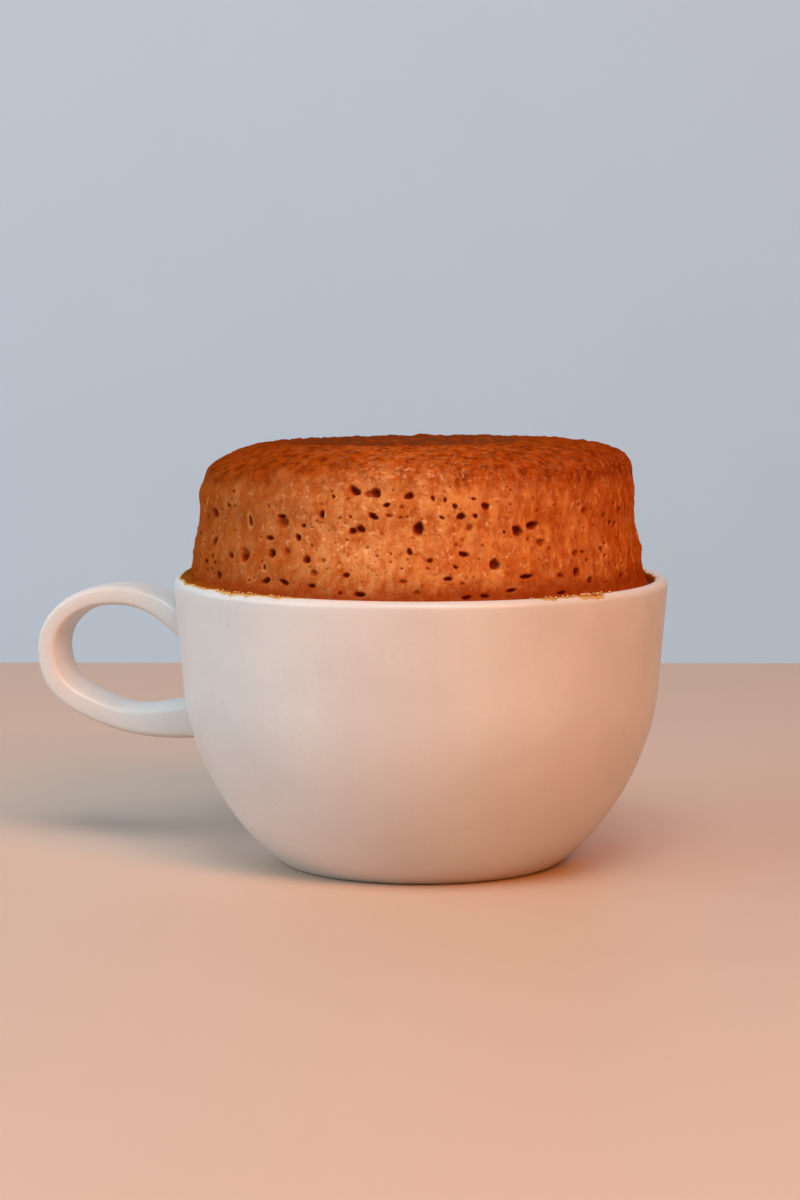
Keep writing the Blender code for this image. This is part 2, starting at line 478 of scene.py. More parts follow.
@dataclass(frozen=True)
class SpongeFinish:
    """Moist baked sponge: tan porous sides, a browner glossy skin on the shoulder and top."""

    tan: Colour = (0.62, 0.225, 0.063)
    amber: Colour = (0.50, 0.115, 0.018)
    pale: Colour = (0.72, 0.33, 0.115)
    cream: Colour = (0.86, 0.50, 0.22)
    # Colour of the painted shade where the side turns away from the front.
    brown: Colour = (0.33, 0.062, 0.007)
    # Colour of the painted side shade on the right, and of the combed streaks there.
    ember: Colour = (0.38, 0.062, 0.003)
    gold: Colour = (0.76, 0.26, 0.045)
    # Painted highlight colour for the glints on the shoulder.
    painted_glint: Colour = (0.82, 0.36, 0.15)
    skin: Colour = (0.19, 0.021, 0.001)
    caramel: Colour = (0.40, 0.060, 0.003)
    # Colour of the painted side shade on the shoulder.
    shoulder_shade: Colour = (0.14, 0.017, 0.001)
    top: Colour = (0.145, 0.034, 0.009)
    # Dark brown for real specks, and for painted shade at the pores' edges and low by the lip.
    rim: Colour = (0.29, 0.040, 0.004)
    # Colour of the painted shade in the pores' hollows.
    pore: Colour = (0.19, 0.020, 0.002)

    def make(self) -> bpy.types.Material:
        """Mix the sponge, which reads the mesh's pore, pale, brown, low, skin and top shares.

        Returns:
            The material.
        """
        graph = Graph("sponge")
        pore, pale, brown, low, skin, top = (graph.attribute(name) for name in SPONGE_LAYERS)
        patches = graph.cloud(8.0, 3.0, 0.6).over(0.36, 0.64)
        mottle = graph.cloud(1.7, 3.0, 0.62, (0.05, 0.0, 0.0), (1.0, 1.0, 0.75))
        grain = graph.cloud(0.6, 2.0, 0.6, (0.0, 0.08, 0.0))
        specks = graph.cloud(1.0, 1.0, 0.5, (0.0, 0.0, 0.03)).over(0.58, 0.74)
        dabs = graph.cloud(1.3, 1.0, 0.5, (0.09, 0.0, 0.0)).over(0.60, 0.76)
        streaks = graph.cloud(3.2, 2.0, 0.55, (0.0, 0.0, 0.06), (1.0, 1.0, 0.5)).over(0.48, 0.64)
        veins = graph.cloud(2.6, 2.0, 0.5, (0.0, 0.11, 0.0), (1.0, 1.0, 0.5)).over(0.36, 0.64)
        combed = graph.cloud(1.5, 2.0, 0.6, (0.07, 0.0, 0.0), (1.0, 1.0, 0.35))
        lumpy = graph.cloud(2.0, 3.0, 0.55, (0.0, 0.0, 0.09), (1.0, 1.0, 0.7))
        murky = graph.cloud(3.2, 3.0, 0.62, (0.02, 0.0, 0.0)).over(0.38, 0.58)
        across = graph.axis("X")
        right = across.over(-0.01, 0.035)
        shoulder = graph.coats(
            self.skin,
            (lumpy.over(0.36, 0.62), self.caramel),
            (streaks * (1.0 - top) * 0.30, self.amber),
            # Painted side shade on the shoulder.
            (brown * 0.5, self.shoulder_shade),
        )
        # A band at the front of the shoulder where the coat shines and glints are painted into the
        # base colour as painted highlights.
        sheen_band = across.over(-0.012, 0.002) - across.over(0.012, 0.03) * 0.7
        below = 1.0 - graph.axis("Z").over(0.0872, 0.0894)
        gloss_and_glint = skin.over(0.15, 0.6) * (1.0 - top.over(0.0, 0.3)) * below * sheen_band
        gloss_and_glint = gloss_and_glint * graph.cloud(1.0, 2.0, 0.6, (0.0, 0.03, 0.0)).over(0.55, 0.67)
        base = graph.coats(
            self.tan,
            (patches * 0.8, self.amber),
            (mottle.over(0.47, 0.66) * 0.85, self.amber),
            ((1.0 - mottle.over(0.30, 0.50)) * 0.65, self.pale),
            ((1.0 - grain.over(0.32, 0.50)) * 0.30, self.pale),
            (streaks * 0.5, self.pale),
            # Painted shade as the side turns away from the front: brown, and ember on the right.
            (brown * (0.78 + veins * 0.26), graph.blend(right, self.brown, self.ember)),
            (right * streaks * (1.0 - brown * 0.7) * 0.32, self.gold),
            (right * combed.over(0.50, 0.66) * 0.50, self.ember),
            (right * (1.0 - combed.over(0.34, 0.48)) * 0.40, self.gold),
            (skin * (0.75 + mottle.over(0.35, 0.6) * 0.25), shoulder),
            (dabs * (1.0 - skin * 0.9) * (1.0 - brown * 0.8) * 0.55, self.cream),
            (pale * (1.0 - skin) * 0.38, self.pale),
            (top * (0.22 + murky * 0.78), self.top),
            # Painted shade low on the side, where the sponge meets the lip.
            (low * (0.58 + mottle * 0.6), self.rim),
            (specks * (1.0 - top) * 0.55, self.rim),
            # Painted shade at the pores' edges and in their hollows.
            (pore.over(0.0, 0.6) * 0.8, self.rim),
            (pore.over(0.4, 1.0) * 0.9, self.pore),
            # Painted glints on the shoulder.
            (gloss_and_glint * 0.5, self.painted_glint),
        )
        relief = mottle * 0.8 + grain * 0.5 + lumpy * skin * 0.8 + combed * right * 0.7
        graph.dress(
            Base_Color=base,
            Roughness=0.62 - gloss_and_glint * 0.25,
            Coat_Weight=gloss_and_glint * 0.2,
            Coat_Roughness=0.2,
            Specular_IOR_Level=0.0,
            Subsurface_Weight=0.15,
            Subsurface_Radius=CRUMB_SCATTER,
            Subsurface_Scale=1.2 * MM,
            Normal=graph.bump(relief, 0.6, 0.35),
        )
        return graph.material


@dataclass(frozen=True)
class CrustFinish:
    """Thin sponge baked onto the glaze: brown where thick, golden and broken at its edge."""

    thick: Colour = (0.26, 0.058, 0.005)
    thin: Colour = (0.80, 0.50, 0.17)

    def make(self) -> bpy.types.Material:
        """Mix the crust, which reads the mesh's edge share.

        Returns:
            The material.
        """
        graph = Graph("baked_crust")
        edge = graph.attribute("edge")
        broken = graph.cloud(0.9, 3.0, 0.65)
        shade = edge + (broken - 0.5) * 0.5
        graph.dress(
            Base_Color=graph.blend(shade.over(0.66, 0.96), self.thick, self.thin),
            Roughness=0.55,
            Specular_IOR_Level=0.0,
            Alpha=1.0 - (edge + (broken - 0.5) * 0.8).over(0.84, 1.10),
            Normal=graph.bump(broken, 0.5, 0.15),
        )
        return graph.material


@dataclass(frozen=True)
class CrumbFinish:
    """Loose crumbs of baked sponge."""

    dark: Colour = (0.52, 0.23, 0.055)
    light: Colour = (0.74, 0.42, 0.15)

    def make(self) -> bpy.types.Material:
        """Mix the crumbs' colours.

        Returns:
            The material.
        """
        graph = Graph("crumb")
        tone = graph.cloud(2.0, 2.0, 0.6).over(0.35, 0.65)
        grain = graph.cloud(0.3, 2.0, 0.6)
        graph.dress(
            Base_Color=graph.blend(tone, self.dark, self.light),
            Roughness=0.6 + grain * 0.1,
            Subsurface_Weight=0.2,
            Subsurface_Radius=CRUMB_SCATTER,
            Subsurface_Scale=0.6 * MM,
            Normal=graph.bump(grain, 0.5, 0.1),
        )
        return graph.material


@dataclass(frozen=True)
class StageFinish:
    """A plain matt studio surface with the faintest unevenness."""

    name: str
    colour: Colour
    roughness: float = 0.6
    glow: float = 0.0

    def make(self) -> bpy.types.Material:
        """Mix the surface.

        Returns:
            The material.
        """
        graph = Graph(self.name)
        soft = graph.cloud(60.0, 2.0, 0.5)
        darker = tuple(part * 0.96 for part in self.colour)
        graph.dress(
            Base_Color=graph.blend(soft, self.colour, darker),
            Roughness=self.roughness,
            Emission_Color=self.colour,
            Emission_Strength=self.glow,
        )
        return graph.material


# ---- The cup ----


@dataclass(frozen=True)
class Knot:
    """One knot of the handle's spine: its place, heading, pulls and the section's size."""

    out: float
    height: float
    heading: float
    arrive: float
    leave: float
    thickness: float
    width: float

    @property
    def spot(self) -> Vector:
        """The (radius, height) place."""
        return Vector((self.out, self.height))

    @property
    def direction(self) -> Vector:
        """The (radius, height) direction of the spine."""
        turn = math.radians(self.heading)
        return Vector((math.cos(turn), math.sin(turn)))


@dataclass(frozen=True)
class Station:
    """One section of the handle: where it is, where it heads and how big it is."""

    spot: Vector
    heading: Vector
    thickness: float
    width: float

    def towards(self, other: "Station", share: float) -> "Station":
        """Return a station on the way to another one.

        Args:
            other: The other station.
            share: How far along the way it lies, from 0 to 1.

        Returns:
            The station between the two.
        """
        return Station(self.spot.lerp(other.spot, share),
                       self.heading.lerp(other.heading, share).normalized(),
                       mix(self.thickness, other.thickness, share),
                       mix(self.width, other.width, share))


@dataclass(frozen=True)
class Seam:
    """How the seam of bowl and handle is tidied: where it lies, and what is merged and smoothed."""

    inmost: float = -40.0
    low: float = 18.0
    high: float = 58.0
    merge_reach: float = 0.3
    merge: float = 0.18
    reach: float = 0.12
    fold: float = 9.0
    passes: int = 4

    def near(self, point: Vector, cup: "Cup", reach: float) -> bool:
        """Tell whether a point lies within reach of the bowl's outside, on the handle's side."""
        beside = point.x < self.inmost and self.low < point.z < self.high
        return beside and abs(cup.gap_to_bowl(point)) < reach


@dataclass
class Cup:
    """The stoneware cup: bowl, flat foot, rounded lip and loop handle, fired in one piece."""

    rim_radius: float
    rim_height: float
    foot_radius: float = 30.0
    foot_edge: float = 0.5
    belly_radius: float = 50.95
    belly_height: float = 38.0
    foot_tangent: Span = (9.2, 6.0)
    belly_pull: float = 16.4
    lip_radius: float = 1.6
    floor_height: float = 6.0
    floor_radius: float = 22.0
    belly_wall: float = 4.6
    inner_floor_pull: float = 14.5
    inner_belly_pull: float = 17.0
    turn_steps: int = 192
    lip_steps: int = 20
    outer_steps: tuple[int, int] = (34, 14)
    inner_steps: tuple[int, int] = (20, 8)
    foot_shares: tuple[float, ...] = (0.0, 0.35, 0.7)
    floor_shares: tuple[float, ...] = (0.6, 0.3, 0.0)
    handle_knots: tuple[Knot, ...] = (
        Knot(49.7, 48.0, 36.0, 0.0, 8.0, 5.5, 13.0),
        Knot(68.5, 55.9, -2.0, 9.5, 8.6, 4.4, 12.5),
        Knot(83.4, 43.0, -94.0, 7.2, 7.2, 4.6, 12.5),
        Knot(70.4, 29.9, -160.0, 9.6, 7.6, 5.2, 12.5),
        Knot(47.2, 29.5, -185.0, 10.0, 0.0, 8.6, 13.5),
    )
    rings_per_span: int = 22
    handle_sides: int = 40
    squareness: float = 0.4
    upright_reach: float = 8.0
    joint_fillet: float = 1.6
    joint_rings: int = 5
    joint_reach: float = 2.2
    joint_bite: float = 0.22
    seam: Seam = Seam()
    sharp_angle: float = 40.0
    finish: GlazeFinish = field(default_factory=GlazeFinish)

    @classmethod
    def from_frame(cls) -> "Cup":
        """Return a cup with the rim of the frame's cup."""
        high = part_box("cup")[1] / MM
        return cls(rim_radius=high.y, rim_height=high.z)

    @property
    def lip_centre(self) -> Vector:
        """The (radius, height) centre of the lip's rounding."""
        return Vector((self.rim_radius - self.lip_radius, self.rim_height - self.lip_radius))

    def wall(self, foot: Span, tangent: Span, belly: Span, top: float, pull: float,
             steps: tuple[int, int]) -> list[Vector]:
        """Return a curve from the foot up to the belly, and the straight flare above it.

        Args:
            foot: Where the curve starts.
            tangent: How far and which way it is pulled there.
            belly: Where it meets the flare.
            top: The radius of the flare's upper end, at the lip's centre.
            pull: How strongly the flare's line holds on to the curve.
            steps: How many steps the curve and the flare have.

        Returns:
            The (radius, height) points, both ends included.
        """
        start, end = Vector(foot), Vector(belly)
        rim = Vector((top, self.lip_centre[1]))
        hold = end - (rim - end).normalized() * pull
        curve = bezier((start, start + Vector(tangent), hold, end), steps[0])
        return curve + [end.lerp(rim, step / steps[1]) for step in range(1, steps[1] + 1)]

    @cached_property
    def outside(self) -> list[Vector]:
        """The bowl's outside, from the foot's edge to where the lip's curve starts."""
        wall = self.wall((self.foot_radius, self.foot_edge * 0.5), self.foot_tangent,
                         (self.belly_radius, self.belly_height), self.rim_radius,
                         self.belly_pull, self.outer_steps)
        return [Vector((self.foot_radius - self.foot_edge, 0.0)), *wall]

    @cached_property
    def inside(self) -> list[Vector]:
        """The bowl's inside, from the floor's edge to where the lip's curve ends."""
        return self.wall((self.floor_radius, self.floor_height), (self.inner_floor_pull, 0.0),
                         (self.belly_radius - self.belly_wall, self.belly_height),
                         self.rim_radius - 2 * self.lip_radius,
                         self.inner_belly_pull, self.inner_steps)

    def lip_point(self, angle: float, lift: float = 0.0) -> Vector:
        """Return a point on or over the lip.

        Args:
            angle: 0 degrees outside, 90 on top and 180 inside.
            lift: How far over the glaze it lies.

        Returns:
            The (radius, height) point.
        """
        turn = math.radians(angle)
        reach = self.lip_radius + lift
        return self.lip_centre + reach * Vector((math.cos(turn), math.sin(turn)))

    def outline(self) -> list[Vector]:
        """Draw the whole turned outline.

        Returns:
            Its (radius, height) points, from the foot's middle to the floor's middle.
        """
        steps = self.lip_steps
        lip = [self.lip_point(180.0 * step / steps) for step in range(1, steps)]
        foot = [Vector((self.foot_radius * share, 0.0)) for share in self.foot_shares]
        floor = [Vector((self.floor_radius * share, self.floor_height))
                 for share in self.floor_shares]
        return [*foot, *self.outside, *lip, *reversed(self.inside), *floor]

    def outer_radius(self, height: float) -> float:
        """Return the radius of the bowl's outside.

        Args:
            height: The level at which it is wanted.

        Returns:
            The radius.
        """
        for below, above in zip(self.outside, self.outside[1:]):
            if above[1] >= height:
                share = (height - below[1]) / (above[1] - below[1])
                return mix(below[0], above[0], share)
        return self.rim_radius

    def gap_to_bowl(self, point: Vector) -> float:
        """Return how far a point lies outside the bowl's surface."""
        return math.hypot(point.x, point.y) - self.outer_radius(point.z)

    def spine(self) -> list[Station]:
        """Spread sections along the handle's knots.

        Returns:
            The sections from the upper joint to the lower one.
        """
        result: list[Station] = []
        for here, there in zip(self.handle_knots, self.handle_knots[1:]):
            corners = (here.spot, here.spot + here.leave * here.direction,
                       there.spot - there.arrive * there.direction, there.spot)
            points = bezier(corners, self.rings_per_span)
            for step, point in enumerate(points[:-1]):
                share = smoothstep(0.0, 1.0, step / self.rings_per_span)
                heading = (points[step + 1] - point).normalized()
                result.append(Station(point, heading, mix(here.thickness, there.thickness, share),
                                      mix(here.width, there.width, share)))
        last = self.handle_knots[-1]
        return result + [Station(last.spot, result[-1].heading, last.thickness, last.width)]

    def stations(self) -> list[Station]:
        """Set the handle's sections closer where it runs into the bowl.

        Returns:
            All its sections.
        """
        spine = self.spine()
        near = self.joint_reach * self.joint_fillet
        result: list[Station] = []
        for here, there in zip(spine, spine[1:]):
            result.append(here)
            if abs(here.spot[0] - self.outer_radius(here.spot[1])) < near:
                result += [here.towards(there, step / (self.joint_rings + 1))
                           for step in range(1, self.joint_rings + 1)]
        return result + [spine[-1]]

    def ribbon_point(self, station: Station, angle: float) -> Vector:
        """Return one point of a rounded section, flared into a fillet at the bowl.

        Args:
            station: The section.
            angle: How far round it the point lies, in radians.

        Returns:
            The point in millimetres.
        """
        along, out = (math.copysign(abs(part) ** self.squareness, part)
                      for part in (math.cos(angle), math.sin(angle)))
        beyond = (station.spot[0] - self.belly_radius) / self.upright_reach
        upright = smoothstep(0.0, 1.0, 1.0 - beyond)
        normal = Vector((-station.heading[1], station.heading[0]))
        side = normal.lerp(Vector((0.0, math.copysign(1.0, normal[1]))), upright).normalized()
        side /= side.dot(normal)
        side *= out * station.thickness / 2
        offset = Vector((-side[0], along * station.width / 2, side[1]))
        point = Vector((-station.spot[0], 0.0, station.spot[1])) + offset
        gap = self.gap_to_bowl(point) + self.joint_bite
        closeness = min(max(1.0 - gap / self.joint_fillet, 0.0), 1.0)
        flare = self.joint_fillet * (1.0 - math.sqrt(1.0 - closeness * closeness))
        return point + offset.normalized() * flare

    def make_handle(self) -> bpy.types.Object:
        """Sweep the handle's sections.

        Returns:
            The closed loop, as a tool for the union.
        """
        bm = bmesh.new()
        rings = []
        for station in self.stations():
            ring = add_ring(bm, 1.0, 0.0, self.handle_sides)
            for vert in ring:
                vert.co = self.ribbon_point(station, math.atan2(vert.co.y, vert.co.x))
            rings.append(ring)
        bridge_rings(bm, rings)
        for ring in (rings[0], rings[-1]):
            bmesh.ops.contextual_create(bm, geom=ring_edges(ring))
        return finish_mesh(bm, "handle_tool", None)

    def smooth_joints(self, bm: BMesh) -> None:
        """Merge the slivers along the seam of bowl and handle and round the seam off.

        Args:
            bm: The joined cup.
        """
        seam = self.seam
        close = [vert for vert in bm.verts if seam.near(vert.co, self, seam.merge_reach)]
        bmesh.ops.remove_doubles(bm, verts=close, dist=seam.merge)
        split_large(bm)
        folds = {vert for edge in bm.edges if edge.is_manifold for vert in edge.verts
                 if edge.calc_face_angle() > math.radians(seam.fold)
                 and seam.near(vert.co, self, seam.reach)}
        band = folds | {edge.other_vert(vert) for vert in folds for edge in vert.link_edges}
        for _ in range(seam.passes):
            bmesh.ops.smooth_vert(bm, verts=list(band), factor=0.5, use_axis_x=True,
                                  use_axis_y=True, use_axis_z=True)

    def build(self) -> bpy.types.Object:
        """Turn the bowl, join the handle to it and dress the cup.

        Returns:
            The finished cup.
        """
        bm = bmesh.new()
        spin_profile(bm, self.outline(), self.turn_steps)
        bowl = finish_mesh(bm, "bowl_tool", None)
        handle = self.make_handle()
        union = bowl.modifiers.new("handle", "BOOLEAN")
        union.operation = "UNION"
        union.solver = "EXACT"
        union.object = handle
        evaluated = bowl.evaluated_get(bpy.context.evaluated_depsgraph_get())
        bm = bmesh.new()
        bm.from_mesh(bpy.data.meshes.new_from_object(evaluated))
        for tool in (bowl, handle):
            bpy.data.objects.remove(tool, do_unlink=True)
        bmesh.ops.scale(bm, vec=(1 / MM, 1 / MM, 1 / MM), verts=bm.verts)
        bm.verts.sort(key=lambda vert: vert.co.dot(SORT_WAY))
        bmesh.ops.remove_doubles(bm, verts=bm.verts, dist=MERGE)
        self.smooth_joints(bm)
        cup = finish_mesh(bm, "stoneware_cup", self.finish.make())
        cup.data.set_sharp_from_angle(angle=math.radians(self.sharp_angle))
        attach(cup, "root")
        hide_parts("cup")
        return cup


# ---- The sponge ----


@dataclass(frozen=True)
class Bumps:
    """A layer of random relief: its height, feature size, seed, octaves and upright squash."""

    height: float
    size: float
    seed: float
    octaves: int = 1
    squash: float = 1.0

    def at(self, point: Vector) -> float:
        """Return the relief at a place."""
        spot = Vector((point.x, point.y, point.z * self.squash))
        return self.height * rough(spot, self.size, self.seed, self.octaves)


class PoreKind(Enum):
    """How a pore looks: an open dark hole, a soft dimple, a faint one, or a hole in a pale bubble."""

    OPEN = (0.66, 1.0, 0.5)
    SOFT = (0.32, 0.62, 0.25)
    FAINT = (0.10, 0.24, 0.25)
    BUBBLE = (0.6, 0.9, 0.5)

    def __init__(self, depth: float, shade: float, floor: float) -> None:
        """Keep the kind's measures.

        Args:
            depth: How deep it is, as a share of its size.
            shade: How strong the painted shade in its middle is.
            floor: How wide its flat floor is, as a share of its size.
        """
        self.depth = depth
        self.shade = shade
        self.floor = floor


OPEN, SOFT, FAINT, BUBBLE = PoreKind


@dataclass(frozen=True)
class Pore:
    """A hole in the sponge's side: where it lies and how wide and high it is, in millimetres."""

    bearing: float
    height: float
    wide: float
    high: float
    tilt: float = 0.0
    kind: PoreKind = OPEN

    @property
    def reach(self) -> float:
        """The pore's larger half size."""
        return max(self.wide, self.high) / 2


# The larger pores of the front: bearing, height, width and height of the hole, tilt, kind.
FRONT_PORES = tuple(Pore(*row) for row in (
    (-3, 84.4, 2.7, 1.7, 25), (2.4, 83.9, 2.4, 1.9), (0.7, 83.6, 1.8, 1.5, 0, SOFT),
    (11, 83.1, 1.9, 1.5, -10), (5.4, 80.9, 1.5, 1, -10), (2, 78.1, 2.1, 1.4, 25),
    (-1.3, 75.3, 1.8, 1.7, 15), (-3.4, 74.9, 1.8, 1.4, -10), (13.4, 75.5, 2.3, 2.7, 10),
    (24, 78.1, 1.9, 1.5, -35), (27.7, 78.1, 1.1, 1.1), (11.2, 71, 1.2, 1.5, -20),
    (16.2, 69.3, 1.2, 1.1), (24.6, 70.5, 2.1, 1.2, 8), (20.6, 65.6, 1.8, 1),
    (24, 64.6, 1.1, 0.9, 0, SOFT), (-4.4, 66.1, 1.5, 1.2), (-0.8, 62.4, 2.6, 1),
    (25, 61.9, 2, 0.9, -5), (13, 62.9, 1.5, 1.1, 0, SOFT), (9.7, 65.1, 1.5, 1, 0, SOFT),
    (22.5, 80.4, 1, 1.3, -10), (20, 82, 0.8, 1), (17, 82.4, 0.8, 1.3, -30),
    (19.2, 77.9, 1.3, 0.6, 35), (26.2, 75.7, 1.5, 1.6, 0, SOFT), (22.5, 68, 1.2, 0.7, 30),
    (9.2, 80.4, 1.1, 0.9, -30, SOFT), (6, 78.3, 1.6, 1, 10, SOFT), (8.8, 77.9, 1.1, 0.7, 0, SOFT),
    (10.6, 78.1, 0.8, 0.6, 0, SOFT), (-8.6, 83, 0.8, 0.9), (-11.6, 78.2, 1.1, 1.9, 10),
    (-7.8, 72.5, 0.7, 0.7, 0, SOFT), (0.6, 71.7, 0.9, 0.8, 0, SOFT), (3.2, 70.1, 1, 0.7, 20, SOFT),
    (4.2, 74.5, 0.8, 0.7, 0, SOFT), (6.7, 69, 0.8, 0.7, 0, SOFT),
    (22.8, 72.4, 0.8, 1.1, -30, SOFT), (-5.8, 62.5, 1, 0.8), (27.3, 82.1, 1.1, 0.6, 8),
    (30.4, 80.2, 1.5, 1.7, -20), (39, 74.8, 2.5, 1.9, 35), (43.6, 75.7, 2.8, 1.7, -15),
    (45.6, 72.2, 1.9, 2, -20, SOFT), (48.5, 70.9, 1.2, 1, 0, SOFT), (32.3, 68.3, 2.3, 2.1, -10),
    (40.7, 65.6, 2.9, 1), (57, 69.6, 2.2, 1.5, 0, SOFT), (29.5, 72.1, 1, 0.9, 0, SOFT),
    (36.4, 63, 2.2, 0.9, -10), (29.5, 62.1, 1.9, 0.9, 8), (44.8, 78.8, 1.1, 0.8, 0, SOFT),
    (51, 65.3, 2.2, 1, 20, SOFT), (51, 61.9, 2.4, 0.8), (-34, 75.9, 1.1, 2.3, -8, BUBBLE),
    (-23, 76.2, 2.7, 2.9, 0, SOFT), (-23.4, 77.3, 2, 1.1, -10), (-27, 72.8, 2, 1),
    (-34.6, 69, 3, 3, 15, SOFT), (-35, 68.5, 1.9, 2), (-25.6, 69.7, 2, 1.8),
    (-21.1, 70.3, 1.5, 1.7, 0, SOFT), (-18.4, 73.2, 1.5, 1.5, 10), (-15.3, 68.9, 1.7, 1.7, -10),
    (-14.3, 71.7, 1, 1, 0, SOFT), (-10.5, 68.9, 1.1, 1.1, 0, SOFT),
    (-13, 66.3, 1.9, 1.4, -10, SOFT), (-26.8, 64.1, 2.3, 1.2, -20), (-21.2, 64.1, 2.5, 1.1, 15),
    (-13.4, 63.7, 1.6, 1), (-27.7, 66.8, 0.9, 1.1, -15, BUBBLE), (-16.9, 75.6, 1, 0.9),
))


@dataclass(frozen=True)
class Dent:
    """A pore set into the shaped surface: its own axes and its uneven outline."""

    centre: Vector
    out: Vector
    across: Vector
    up: Vector
    pore: Pore
    phase: float

    def distance(self, point: Vector) -> float:
        """Return how far a point is from the middle, 1 at the pore's uneven edge.

        Args:
            point: The point, near the surface.

        Returns:
            The distance as a share of the pore's half size.
        """
        offset = point - self.centre
        x = offset.dot(self.across) / (self.pore.wide / 2)
        y = offset.dot(self.up) / (self.pore.high / 2)
        angle = math.atan2(y, x)
        edge = 1.0
        for size, count, turn in PORE_WAVES:
            edge += size * math.sin(count * angle + turn * self.phase)
        return math.hypot(x, y) / edge

    def press(self, point: Vector) -> tuple[float, float, float]:
        """Return what the pore does to a place.

        Args:
            point: The place on the surface.

        Returns:
            How far it is pressed in, and the shares of the pale ring and of the painted shade in the
            hole there.
        """
        away, kind = self.distance(point), self.pore.kind
        depth = (self.pore.wide + self.pore.high) / 2 * kind.depth
        least, more = PORE_DARKNESS
        darkness = kind.shade * min(1.0, least + more * self.pore.reach)
        inward = smoothstep(PORE_BRIM, kind.floor, away) * depth
        dark = smoothstep(*PORE_SHADE, away) * darkness
        if kind is not BUBBLE:
            return inward, 0.0, dark
        ring = smoothstep(*RING_RISE, away) * smoothstep(*RING_FALL, away)
        return inward - ring * RING_HEIGHT, ring, dark


@dataclass(frozen=True)
class PoreField:
    """The random pores: how many there are, how large, and where they may lie."""

    seed: int = 11
    sizes: tuple[tuple[int, float, float], ...] = (
        (36, 1.5, 2.5), (100, 0.85, 1.5), (330, 0.42, 0.8))
    faint: tuple[int, float, float] = (260, 0.8, 1.7)
    tries: int = 12
    low: float = 61.6
    rise: float = 24.0
    crowding: float = 1.25
    front_reach: float = 48.0
    front_largest: float = 0.75
    brow: float = 83.0
    brow_largest: float = 1.2
    widths: Span = (0.85, 1.25)
    heights: Span = (0.65, 1.05)
    large: float = 0.8
    open_large: float = 0.6
    open_small: float = 0.25
    open_and_soft: float = 0.8
    bubbles: float = 0.15
    tilt: float = 40.0
    side_radius: float = 47.5
    wall: float = 0.35

    def scatter(self) -> list[Pore]:
        """Add random pores to the front's own ones wherever there is room.

        Returns:
            All the pores.
        """
        rng = random.Random(self.seed)
        sizes = [rng.uniform(low, high) for count, low, high in (*self.sizes, self.faint)
                 for _ in range(count)]
        faint_from = len(sizes) - self.faint[0]
        pores = list(FRONT_PORES)
        for order, size in enumerate(sizes):
            kind = FAINT if order >= faint_from else OPEN
            for _ in range(self.tries):
                bearing = rng.uniform(-180.0, 180.0)
                height = self.low + self.rise * rng.random() ** self.crowding
                pore = Pore(bearing, height, size, size, kind=kind)
                if self.has_room(pore, pores):
                    pores.append(self.varied(pore, rng))
                    break
        return pores

    def has_room(self, pore: Pore, others: Sequence[Pore]) -> bool:
        """Tell whether a pore suits its place and leaves a wall between itself and the others.

        Args:
            pore: The new pore.
            others: The pores that are there.

        Returns:
            Whether it can be added.
        """
        near_front = bearing_gap(pore.bearing, FRONT_MIDDLE) < self.front_reach
        if near_front and pore.wide > self.front_largest and pore.kind is not FAINT:
            return False
        if pore.height > self.brow and pore.wide > self.brow_largest:
            return False
        for other in others:
            across = math.radians(bearing_gap(pore.bearing, other.bearing)) * self.side_radius
            away = math.hypot(across, pore.height - other.height)
            if away <= pore.reach + other.reach + self.wall:
                return False
        return True

    def varied(self, pore: Pore, rng: random.Random) -> Pore:
        """Give a round pore its own shape and kind.

        Args:
            pore: The round pore, which stays faint if it is.
            rng: The source of random numbers.

        Returns:
            The uneven pore.
        """
        wide = pore.wide * rng.uniform(*self.widths)
        high = pore.high * rng.uniform(*self.heights)
        open_share = self.open_large if pore.wide > self.large else self.open_small
        weights = (open_share, self.open_and_soft - open_share, self.bubbles)
        kind = rng.choices((OPEN, SOFT, BUBBLE), weights)[0]
        tilt = rng.uniform(-self.tilt, self.tilt)
        kind = FAINT if pore.kind is FAINT else kind
        return Pore(pore.bearing, pore.height, wide, high, tilt, kind)


